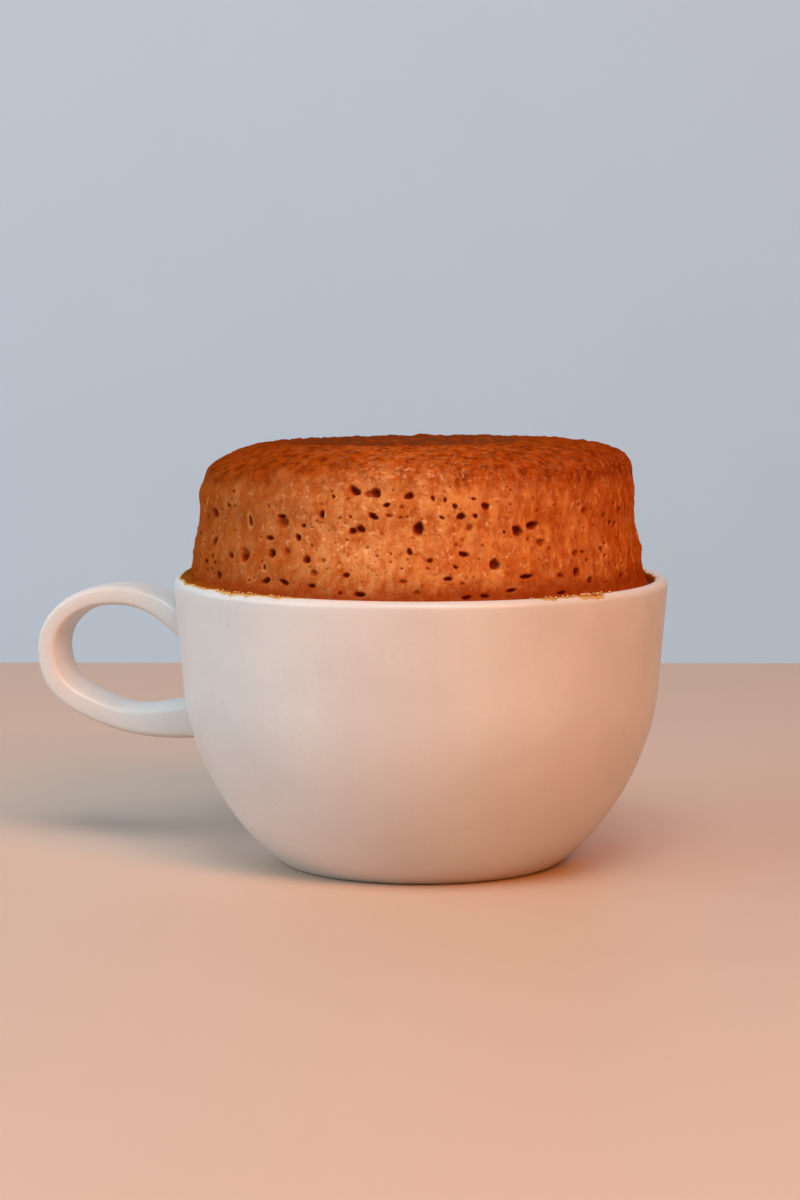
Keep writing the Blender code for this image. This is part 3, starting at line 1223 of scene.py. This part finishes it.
@dataclass
class Sponge:
    """The risen cake: it fills the bowl, stands above the lip and sinks a little in its middle."""

    cup: Cup
    top: float
    gap: float = 0.35
    lip_gap: float = 0.05
    side: tuple[Span, ...] = (
        (49.25, 58.5), (49.1, 60.2), (48.4, 61.7), (47.85, 63.8), (47.6, 66.5), (47.35, 68.3),
        (46.6, 71.6), (46.15, 75.2), (46.25, 78.7), (46.1, 82.1), (45.35, 85.4))
    shoulder: tuple[Span, ...] = ((45.35, 85.4), (44.9, 88.9), (40.6, 90.8), (31.0, 91.0))
    side_steps: int = 6
    shoulder_steps: int = 16
    row_step: float = 0.6
    columns: int = 480
    underside: tuple[tuple[float, int], ...] = ((2.0, 24), (12.0, 48))
    hidden_top: float = 55.5
    hidden_lift: float = 0.7
    hidden_columns: int = 96
    neck: tuple[float, float, int] = (48.75, 56.8, 192)
    crown: tuple[tuple[int, float], ...] = ((240, 17.0), (120, 8.5), (60, 4.0), (30, 1.2))
    crown_step: float = 0.85
    lean: float = 0.75
    lean_bearing: float = -76.0
    lean_start: float = 57.5
    lean_rise: float = 4.0
    upper: Span = (76.0, 86.0)
    edge: Span = (30.0, 45.0)
    droop: float = 2.2
    back_droop: float = 1.0
    back_reach: float = 34.0
    back_from: float = 14.0
    lobes: tuple[tuple[int, float, float], ...] = (
        (2, 0.35, -45.0), (3, 0.30, 40.0), (5, 0.22, 100.0))
    bulges: tuple[tuple[float, float, float, float], ...] = (
        (101.0, 67.8, 1.6, 0.5), (112.0, 66.4, 3.0, 0.4), (96.0, 88.0, 3.2, 0.8),
        (-118.0, 66.0, 4.0, 0.7), (170.0, 70.0, 5.0, 0.9), (140.0, 80.0, 4.0, -0.6),
        (-150.0, 79.0, 5.0, 0.6))
    crater_depth: float = 4.2
    crater_radius: float = 17.0
    crater_centre: Span = (-6.0, 2.0)
    crater_reach: float = 4.0
    pores: PoreField = PoreField()
    beside: Span = (0.6, 0.0)
    above: Span = (0.0, 0.5)
    refinements: tuple[Span, ...] = ((1.5, 0.341), (1.4, 0.188))
    wander: Bumps = Bumps(1.6, 9.0, 15.0, 2)
    patchy: Bumps = Bumps(1.3, 4.0, 25.0, 2)
    bare: Span = (60.4, 62.5)
    side_bumps: tuple[Bumps, ...] = (
        Bumps(0.26, 8.0, 3.0, 2), Bumps(0.20, 2.6, 9.0, 2), Bumps(0.10, 1.25, 5.0))
    combed_bumps: Bumps = Bumps(0.16, 1.7, 51.0, 2, 0.35)
    skin_bumps: Bumps = Bumps(0.30, 2.3, 21.0, 2, 0.6)
    top_bumps: tuple[Bumps, ...] = (Bumps(0.42, 4.2, 31.0, 3), Bumps(0.24, 1.7, 41.0, 2))
    skin_low: float = 80.5
    skin_high: Span = (88.5, 85.0)
    skin_turn: Span = (22.0, 50.0)
    top_centre: Span = (-6.0, 8.0)
    top_spread: Span = (33.0, 19.0)
    top_rise: Span = (80.0, 84.0)
    top_wander: float = 1.5
    # Painted shade low on the side, where the sponge meets the lip.
    low_shade_spread: Span = (65.6, 61.8)
    low_shade_wander: float = 0.7
    # Painted shade on the side where it turns away from the front, with more on the left.
    side_shade_wander: float = 4.0
    side_shade_sides: tuple[tuple[float, float, float], ...] = ((0.55, 8.0, 45.0), (0.40, 45.0, 78.0))
    side_shade_left: float = 0.30
    left_start: Span = (4.0, -28.0)
    left_end: Span = (-150.0, -110.0)
    finish: SpongeFinish = field(default_factory=SpongeFinish)

    @classmethod
    def from_frame(cls, cup: Cup) -> "Sponge":
        """Return a sponge with the height of the frame's cake, in the given cup."""
        return cls(cup=cup, top=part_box("cake")[1].z / MM)

    # The plain lathe

    @cached_property
    def line(self) -> list[Vector]:
        """The plain lathe's (radius, height) line, up the side and over the shoulder."""
        shoulder = bezier(self.shoulder, self.shoulder_steps)
        return through(self.side, self.side_steps) + shoulder[1:]

    def rings(self) -> list[tuple[float, float, int]]:
        """Lay out the lathe's rings.

        Returns:
            The radius, height and columns of each, from underside to top.
        """
        floor = self.cup.floor_height + self.gap
        rows = [(radius, floor, columns) for radius, columns in self.underside]
        rows += [(point[0] - self.gap, point[1] + self.gap * self.hidden_lift, self.hidden_columns)
                 for point in self.cup.inside[::3] if point[1] < self.hidden_top]
        rows.append(self.neck)
        rows += [(*point, self.columns) for point in evenly(self.line, self.row_step)]
        radius = rows[-1][0]
        for columns, stop in self.crown:
            step = math.tau * radius / columns
            while radius - step > stop:
                radius -= step
                rows.append((radius, self.shoulder[-1][1], columns))
                step = min(step, self.crown_step)
        return rows

    def lathe(self) -> BMesh:
        """Bridge the rings into the plain closed lathe of the sponge.

        Returns:
            The lathe.
        """
        bm = bmesh.new()
        loops = [add_ring(bm, *row) for row in self.rings()]
        bridge_rings(bm, loops)
        close_ring(bm, loops[0])
        close_ring(bm, loops[-1])
        bmesh.ops.recalc_face_normals(bm, faces=bm.faces)
        return bm

    # Its large shape

    def shaped(self, point: Vector) -> Vector:
        """Move a point of the plain lathe to the sponge's uneven, sunken-topped form.

        Args:
            point: The point of the lathe.

        Returns:
            Its new place.
        """
        radius = math.hypot(point.x, point.y)
        bearing = bearing_of(point)
        risen = smoothstep(0.0, self.lean_rise, point.z - self.lean_start)
        towards = math.cos(math.radians(bearing - self.lean_bearing))
        swell = self.lean * towards
        for count, size, start in self.lobes:
            swell += size * math.cos(math.radians(count * (bearing - start)))
        for middle, height, reach, size in self.bulges:
            across = math.radians(bearing_gap(bearing, middle)) * radius
            swell += size * math.exp(-(across * across + (point.z - height) ** 2) / reach**2)
        radius = self.within_lip(radius * (1.0 + risen * swell / self.side[0][0]), point.z)
        upper = smoothstep(*self.upper, point.z)
        edge = smoothstep(*self.edge, radius) * upper
        drop = self.droop * edge * (0.5 + 0.5 * towards)
        backwards = 0.5 - 0.5 * math.cos(math.radians(bearing - self.back_from))
        drop += self.back_droop * backwards * smoothstep(0.0, self.back_reach, radius) * upper
        moved = at_bearing(radius, bearing, point.z)
        if point.z > self.top - self.crater_reach:
            away = math.hypot(moved.x - self.crater_centre[0], moved.y - self.crater_centre[1])
            drop += self.crater_depth * math.exp(-((away / self.crater_radius) ** 2))
        moved.z -= drop
        return moved

    def within_lip(self, radius: float, height: float) -> float:
        """Hold a radius inside the wall and the lip's inner curve.

        Args:
            radius: The wished radius.
            height: The level it is for.

        Returns:
            The radius that fits.
        """
        if height > self.cup.rim_height:
            return radius
        over = max(height - self.cup.lip_centre[1], 0.0)
        lip = math.sqrt(max(self.cup.lip_radius**2 - over * over, 0.0))
        return min(radius, self.cup.lip_centre[0] - lip - self.lip_gap)

    def side_point(self, bearing: float, height: float) -> Vector:
        """Return where a place on the side lies on the plain lathe, before it is shaped.

        Args:
            bearing: The place's bearing.
            height: Its height.

        Returns:
            The point.
        """
        for start, end in zip(self.line, self.line[1:]):
            if start[1] <= height <= end[1] and end[1] > start[1]:
                share = (height - start[1]) / (end[1] - start[1])
                return at_bearing(mix(start[0], end[0], share), bearing, height)
        return at_bearing(self.line[-1][0], bearing, self.line[-1][1])

    # Its pores

    def dents(self) -> list[Dent]:
        """Set the pores into the shaped surface.

        Returns:
            The pores with their places and axes.
        """
        rng = random.Random(self.pores.seed + 1)
        result = []
        for pore in self.pores.scatter():
            centre, right, above = (
                self.shaped(self.side_point(pore.bearing + turn, pore.height + rise))
                for turn, rise in ((0.0, 0.0), self.beside, self.above))
            right -= centre
            out = right.cross(above - centre).normalized()
            tilt = Matrix.Rotation(math.radians(-pore.tilt), 3, out)
            across = tilt @ right.normalized()
            phase = rng.uniform(0.0, math.tau)
            result.append(Dent(centre, out, across, out.cross(across), pore, phase))
        return result

    def refine(self, bm: BMesh, dents: Sequence[Dent]) -> None:
        """Split the faces round all but the faint pores, twice.

        Args:
            bm: The shaped sponge.
            dents: Its pores.
        """
        for share, margin in self.refinements:
            tree = vertex_tree(bm)
            chosen = {bm.verts[index] for dent in dents if dent.pore.kind is not FAINT
                      for _, index, _ in tree.find_range(dent.centre,
                                                         dent.pore.reach * share + margin)}
            edges = [edge for edge in bm.edges
                     if edge.verts[0] in chosen and edge.verts[1] in chosen]
            bmesh.ops.subdivide_edges(bm, edges=edges, cuts=1, use_grid_fill=True)

    def carve(self, bm: BMesh, dents: Sequence[Dent]) -> None:
        """Press the pores into the mesh and store each place's painted pore shade and pale ring.

        Args:
            bm: The sponge with its relief.
            dents: Its pores.
        """
        pore_shade_layer = bm.verts.layers.float["pore"]
        pale_layer = bm.verts.layers.float["pale"]
        tree = vertex_tree(bm)
        moves: dict[int, Vector] = {}
        for dent in dents:
            reach = dent.pore.reach * PORE_REACH + PORE_MARGIN
            for spot, index, _ in tree.find_range(dent.centre, reach):
                inward, ring, dark = dent.press(spot)
                vert = bm.verts[index]
                vert[pale_layer] = max(vert[pale_layer], ring)
                vert[pore_shade_layer] = max(vert[pore_shade_layer], dark)
                if index not in moves or inward > moves[index].length:
                    moves[index] = -dent.out * inward
        for index, move in moves.items():
            bm.verts[index].co += move

    # Its surface

    def side_shade(self, bearing: float) -> float:
        """Return the painted shade on the side, least where it faces the front and more on the left.

        Args:
            bearing: The place's bearing.

        Returns:
            The share, of up to about 1.
        """
        away = bearing_gap(bearing, FRONT_MIDDLE)
        left = smoothstep(*self.left_start, bearing) * smoothstep(*self.left_end, bearing)
        return self.side_shade_left * left + sum(
            most * smoothstep(start, end, away) for most, start, end in self.side_shade_sides)

    def shares(self, point: Vector) -> dict[str, float]:
        """Return how much of each kind of surface a place has.

        Args:
            point: The place on the shaped sponge.

        Returns:
            The shares of painted shade on the side (brown) and low by the lip, of skin and of top.
        """
        bearing = bearing_of(point)
        wander = self.wander.at(point)
        turned = smoothstep(*self.skin_turn, bearing_gap(bearing, FRONT_MIDDLE))
        skin_high = mix(*self.skin_high, turned)
        middle = math.hypot(point.x - self.top_centre[0], point.y - self.top_centre[1])
        return {
            # brown: painted shade where the side turns away from the front.
            "brown": self.side_shade(bearing + self.side_shade_wander * wander),
            # low: painted shade where the sponge meets the lip.
            "low": smoothstep(*self.low_shade_spread, point.z + self.low_shade_wander * wander),
            "skin": smoothstep(self.skin_low, skin_high, point.z + wander + self.patchy.at(point)),
            "top": smoothstep(*self.top_spread, middle + self.top_wander * wander)
            * smoothstep(*self.top_rise, point.z),
        }

    def relief(self, point: Vector, skin: float, top: float) -> float:
        """Return how far the crumb stands proud of the smooth form.

        Args:
            point: The place on the shaped sponge.
            skin: How much of the glossy skin there is.
            top: How much it belongs to the top.

        Returns:
            The height in millimetres.
        """
        side = sum(bumps.at(point) for bumps in self.side_bumps)
        right = smoothstep(0.0, self.back_reach, point.x)
        crumb = sum(bumps.at(point) for bumps in self.top_bumps)
        return smoothstep(*self.bare, point.z) * (
            side + right * self.combed_bumps.at(point) + skin * self.skin_bumps.at(point)
            + top * crumb)

    def build(self) -> bpy.types.Object:
        """Turn, shape, refine and carve the sponge and dress it.

        Returns:
            The finished sponge.
        """
        bm = self.lathe()
        for name in SPONGE_LAYERS:
            bm.verts.layers.float.new(name)
        for vert in bm.verts:
            vert.co = self.shaped(vert.co)
        dents = self.dents()
        self.refine(bm, dents)
        bm.normal_update()
        layers = bm.verts.layers.float
        for vert in bm.verts:
            shares = self.shares(vert.co)
            for name, share in shares.items():
                vert[layers[name]] = share
            vert.co += vert.normal * self.relief(vert.co, shares["skin"], shares["top"])
        self.carve(bm, dents)
        split_large(bm)
        sponge = finish_mesh(bm, "sponge_cake", self.finish.make())
        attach(sponge, "root")
        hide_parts("cake")
        return sponge


# ---- What is baked onto the lip ----


@dataclass(frozen=True)
class Smear:
    """A stretch of the lip where the crust spreads further out and stands higher."""

    bearing: float
    half_width: float
    angle: float
    height: float


@dataclass
class BakedCrust:
    """The thin ragged crust that the sponge left on the lip where it rose over it."""

    cup: Cup
    usual: Smear = Smear(0.0, 180.0, 124.0, 0.28)
    smears: tuple[Smear, ...] = (
        Smear(-78.0, 22.0, 72.0, 1.9), Smear(-52.0, 14.0, 62.0, 1.3), Smear(-33.0, 9.0, 46.0, 0.6),
        Smear(-20.0, 8.0, 62.0, 0.4), Smear(46.0, 5.0, 56.0, 0.25), Smear(56.0, 5.0, 34.0, 0.22),
        Smear(88.0, 14.0, 118.0, 0.25), Smear(150.0, 25.0, 84.0, 0.8), Smear(-130.0, 18.0, 70.0, 1.1))
    smear_fade: Span = (1.5, 0.5)
    inner_low: float = 166.0
    inner_high: float = 130.0
    tall: Span = (0.3, 1.6)
    edge_bumps: tuple[Bumps, ...] = (Bumps(15.0, 5.0, 2.0, 2), Bumps(12.0, 1.3, 8.0))
    height_bumps: Bumps = Bumps(0.35, 2.4, 5.0, 2)
    lumps: Bumps = Bumps(0.5, 0.9, 12.0, 2)
    lump_drift: float = 0.06
    edge_thickness: float = 0.04
    taper: float = 2.2
    under_gap: float = 0.01
    columns: int = 720
    steps: int = 10
    finish: CrustFinish = field(default_factory=CrustFinish)

    @cached_property
    def shares(self) -> list[float]:
        """How far out each vertex of a section is, from 0 to 1 on top and back beneath."""
        outward = [step / self.steps for step in range(self.steps + 1)]
        return outward + outward[::-1]

    def reach(self, bearing: float) -> Span:
        """Return how far the crust spreads and how high it stands.

        Args:
            bearing: The place on the lip.

        Returns:
            The angle of the ragged edge over the lip, and the crust's height.
        """
        angle, height = self.usual.angle, self.usual.height
        for smear in self.smears:
            start, end = (smear.half_width * part for part in self.smear_fade)
            share = smoothstep(start, end, bearing_gap(bearing, smear.bearing))
            angle = min(angle, mix(self.usual.angle, smear.angle, share))
            height = max(height, mix(self.usual.height, smear.height, share))
        spot = at_bearing(self.cup.rim_radius, bearing, 0.0)
        angle += sum(bumps.at(spot) for bumps in self.edge_bumps)
        return angle, height * (1.0 + self.height_bumps.at(spot))

    def lay(self, ring: Sequence[BMVert], bearing: float) -> None:
        """Lay one closed section of the crust over the lip.

        Args:
            ring: The section's vertices, first along its upper side, then back beneath.
            bearing: Where it lies.
        """
        outer, height = self.reach(bearing)
        inner = mix(self.inner_low, self.inner_high, smoothstep(*self.tall, height))
        for index, (vert, share) in enumerate(zip(ring, self.shares)):
            angle = mix(inner, outer, share)
            spot = at_bearing(self.cup.rim_radius, bearing, angle * self.lump_drift)
            lift = mix(height, self.edge_thickness, 1.0 - (1.0 - share) ** self.taper)
            lift *= 1.0 + self.lumps.at(spot)
            place = self.cup.lip_point(angle, lift if index <= self.steps else self.under_gap)
            vert.co = at_bearing(place[0], bearing, place[1])

    def build(self) -> bpy.types.Object:
        """Lay the crust's sections round the lip and bridge them into one closed strip.

        Returns:
            The finished crust.
        """
        bm = bmesh.new()
        layer = bm.verts.layers.float.new("edge")
        rings = []
        for column in range(self.columns):
            ring = add_ring(bm, 1.0, 0.0, len(self.shares))
            self.lay(ring, 360.0 * column / self.columns)
            for vert, share in zip(ring, self.shares):
                vert[layer] = share
            rings.append(ring)
        bridge_rings(bm, rings + rings[:1])
        crust = finish_mesh(bm, "baked_crust", self.finish.make())
        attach(crust, "root")
        return crust


@dataclass
class Crumbs:
    """Loose crumbs caught between the sponge and the lip."""

    cup: Cup
    count: int = 230
    smallest: float = 0.09
    largest: float = 0.40
    smallness: float = 2.2
    seed: int = 5
    clusters: tuple[Span, ...] = (
        (-36.0, 12.0), (-22.0, 9.0), (46.0, 7.0), (56.0, 6.0), (56.0, 6.0), (160.0, 20.0),
        (-150.0, 30.0))
    angles: Span = (60.0, 130.0)
    lift: float = 0.55
    widths: Span = (0.7, 1.3)
    heights: Span = (0.6, 0.9)
    lumps: float = 0.45
    lump_scale: float = 1.4
    finish: CrumbFinish = field(default_factory=CrumbFinish)

    def build(self) -> bpy.types.Object:
        """Scatter small uneven crumbs over the lip as one joined mesh.

        Returns:
            The crumbs.
        """
        rng = random.Random(self.seed)
        bm = bmesh.new()
        for _ in range(self.count):
            middle, spread = rng.choice(self.clusters)
            bearing = rng.gauss(middle, spread / 2)
            radius = mix(self.smallest, self.largest, rng.random() ** self.smallness)
            place = self.cup.lip_point(rng.uniform(*self.angles), radius * self.lift)
            centre = at_bearing(place[0], bearing, place[1])
            made = bmesh.ops.create_icosphere(bm, subdivisions=1, radius=radius,
                                              matrix=Matrix.Translation(centre))
            ranges = (self.widths, self.widths, self.heights)
            squash = Vector([rng.uniform(*limits) for limits in ranges])
            for vert in made["verts"]:
                offset = vert.co - centre
                lump = noise.noise(offset / radius * self.lump_scale + centre)
                vert.co = centre + offset * squash * (1.0 + self.lumps * lump)
        crumbs = finish_mesh(bm, "lip_crumbs", self.finish.make())
        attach(crumbs, "root")
        return crumbs


# ---- The studio ----


@dataclass(frozen=True)
class Lamp:
    """A soft square light, placed by its bearing and elevation seen from the cup."""

    name: str
    bearing: float
    elevation: float
    size: float
    power: float
    colour: Colour
    distance: float = 1.4

    def build(self, target: Vector) -> None:
        """Hang the light and aim it.

        Args:
            target: The point it faces, in metres.
        """
        data = bpy.data.lights.new(self.name, "AREA")
        data.shape = "SQUARE"
        data.size = self.size
        data.energy = self.power
        data.color = self.colour
        lamp = bpy.data.objects.new(self.name, data)
        rise = math.radians(self.elevation)
        level = self.distance * math.cos(rise)
        lamp.location = target + at_bearing(level, self.bearing, self.distance * math.sin(rise))
        lamp.rotation_euler = (target - lamp.location).to_track_quat("-Z", "Y").to_euler()
        bpy.context.scene.collection.objects.link(lamp)


@dataclass
class Studio:
    """A pale floor with a cool backdrop, soft lights and a camera at table height, in metres."""

    camera_bearing: float = 14.0
    camera_distance: float = 0.700
    camera_height: float = 0.133
    camera_pitch: float = 6.26
    camera_turn: float = 0.367
    lens: float = 98.4
    sensor: float = 36.0
    half_width: float = 3.0
    floor_depth: float = 0.33
    wall_distance: float = 1.1
    wall_low: float = -0.4
    wall_high: float = 2.2
    aim: float = 0.05
    sky: Colour = (0.72, 0.80, 0.90)
    sky_strength: float = 0.05
    floor: StageFinish = StageFinish("floor", (0.67, 0.475, 0.355), 0.5)
    backdrop: StageFinish = StageFinish("backdrop", (0.50, 0.58, 0.66), 0.9, 0.42)
    lamps: tuple[Lamp, ...] = (
        Lamp("warm_key", 47.0, 37.0, 0.5, 12.2, (1.0, 0.34, 0.06)),
        Lamp("soft_front", 16.0, 56.0, 0.7, 10.2, (0.92, 0.98, 1.0)),
        Lamp("cool_window", -48.0, 25.0, 0.9, 9.6, (0.54, 0.84, 1.0)),
        Lamp("low_window", -86.0, 10.0, 0.9, 5.4, (0.88, 0.92, 1.0)),
        Lamp("cool_back", -140.0, 45.0, 0.9, 1.0, (0.70, 0.80, 1.0)),
    )

    def plane(self, near: Vector, far: Vector, finish: StageFinish) -> None:
        """Add one flat stage surface, as wide as the studio.

        Args:
            near: The middle of its near or lower edge.
            far: The middle of its far or upper edge.
            finish: Its finish, whose name it takes.
        """
        turn = math.radians(self.camera_bearing)
        side = Vector((math.cos(turn), math.sin(turn), 0.0)) * self.half_width
        bm = bmesh.new()
        bm.faces.new([bm.verts.new(corner)
                      for corner in (near - side, near + side, far + side, far - side)])
        mesh = bpy.data.meshes.new(finish.name)
        bm.to_mesh(mesh)
        bm.free()
        mesh.materials.append(finish.make())
        item = bpy.data.objects.new(finish.name, mesh)
        bpy.context.scene.collection.objects.link(item)

    def build(self) -> None:
        """Set up the floor, backdrop, lights, world and camera."""
        turn = math.radians(self.camera_bearing)
        back = Vector((-math.sin(turn), math.cos(turn), 0.0))
        self.plane(back * -self.half_width, back * self.floor_depth, self.floor)
        low, high = (back * self.wall_distance + Vector((0.0, 0.0, level))
                     for level in (self.wall_low, self.wall_high))
        self.plane(low, high, self.backdrop)
        for lamp in self.lamps:
            lamp.build(Vector((0.0, 0.0, self.aim)))
        world = bpy.data.worlds.new("studio")
        world.use_nodes = True
        background = world.node_tree.nodes["Background"]
        background.inputs["Color"].default_value = (*self.sky, 1.0)
        background.inputs["Strength"].default_value = self.sky_strength
        bpy.context.scene.world = world
        bpy.context.scene.view_settings.view_transform = "Standard"
        self.add_camera()

    def add_camera(self) -> None:
        """Add the camera and make it the scene's own."""
        data = bpy.data.cameras.new("camera")
        data.lens = self.lens
        data.sensor_width = self.sensor
        data.clip_start = 0.01
        camera = bpy.data.objects.new("camera", data)
        camera.location = at_bearing(self.camera_distance, self.camera_bearing, self.camera_height)
        camera.rotation_euler = (math.radians(90.0 - self.camera_pitch), 0.0,
                                 math.radians(self.camera_bearing + self.camera_turn))
        bpy.context.scene.collection.objects.link(camera)
        bpy.context.scene.camera = camera


# ---- All of it ----


def corners(box: Sequence[Vector]) -> list[list[float]]:
    """Return a box's two corners as plain lists."""
    return [[float(part) for part in corner] for corner in box]


def report(item: bpy.types.Object) -> None:
    """Log a finished piece with its size in faces."""
    LOG.info("%s: %d faces", item.name, len(item.data.polygons))


def main() -> None:
    """Build the cup, the sponge, what is baked onto the lip, and the studio."""
    logging.basicConfig(level=logging.INFO, format="%(name)s %(message)s")
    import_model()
    Studio().build()
    cup = Cup.from_frame()
    report(cup.build())
    report(Sponge.from_frame(cup).build())
    report(BakedCrust(cup).build())
    report(Crumbs(cup).build())


if __name__ == "__main__":
    main()
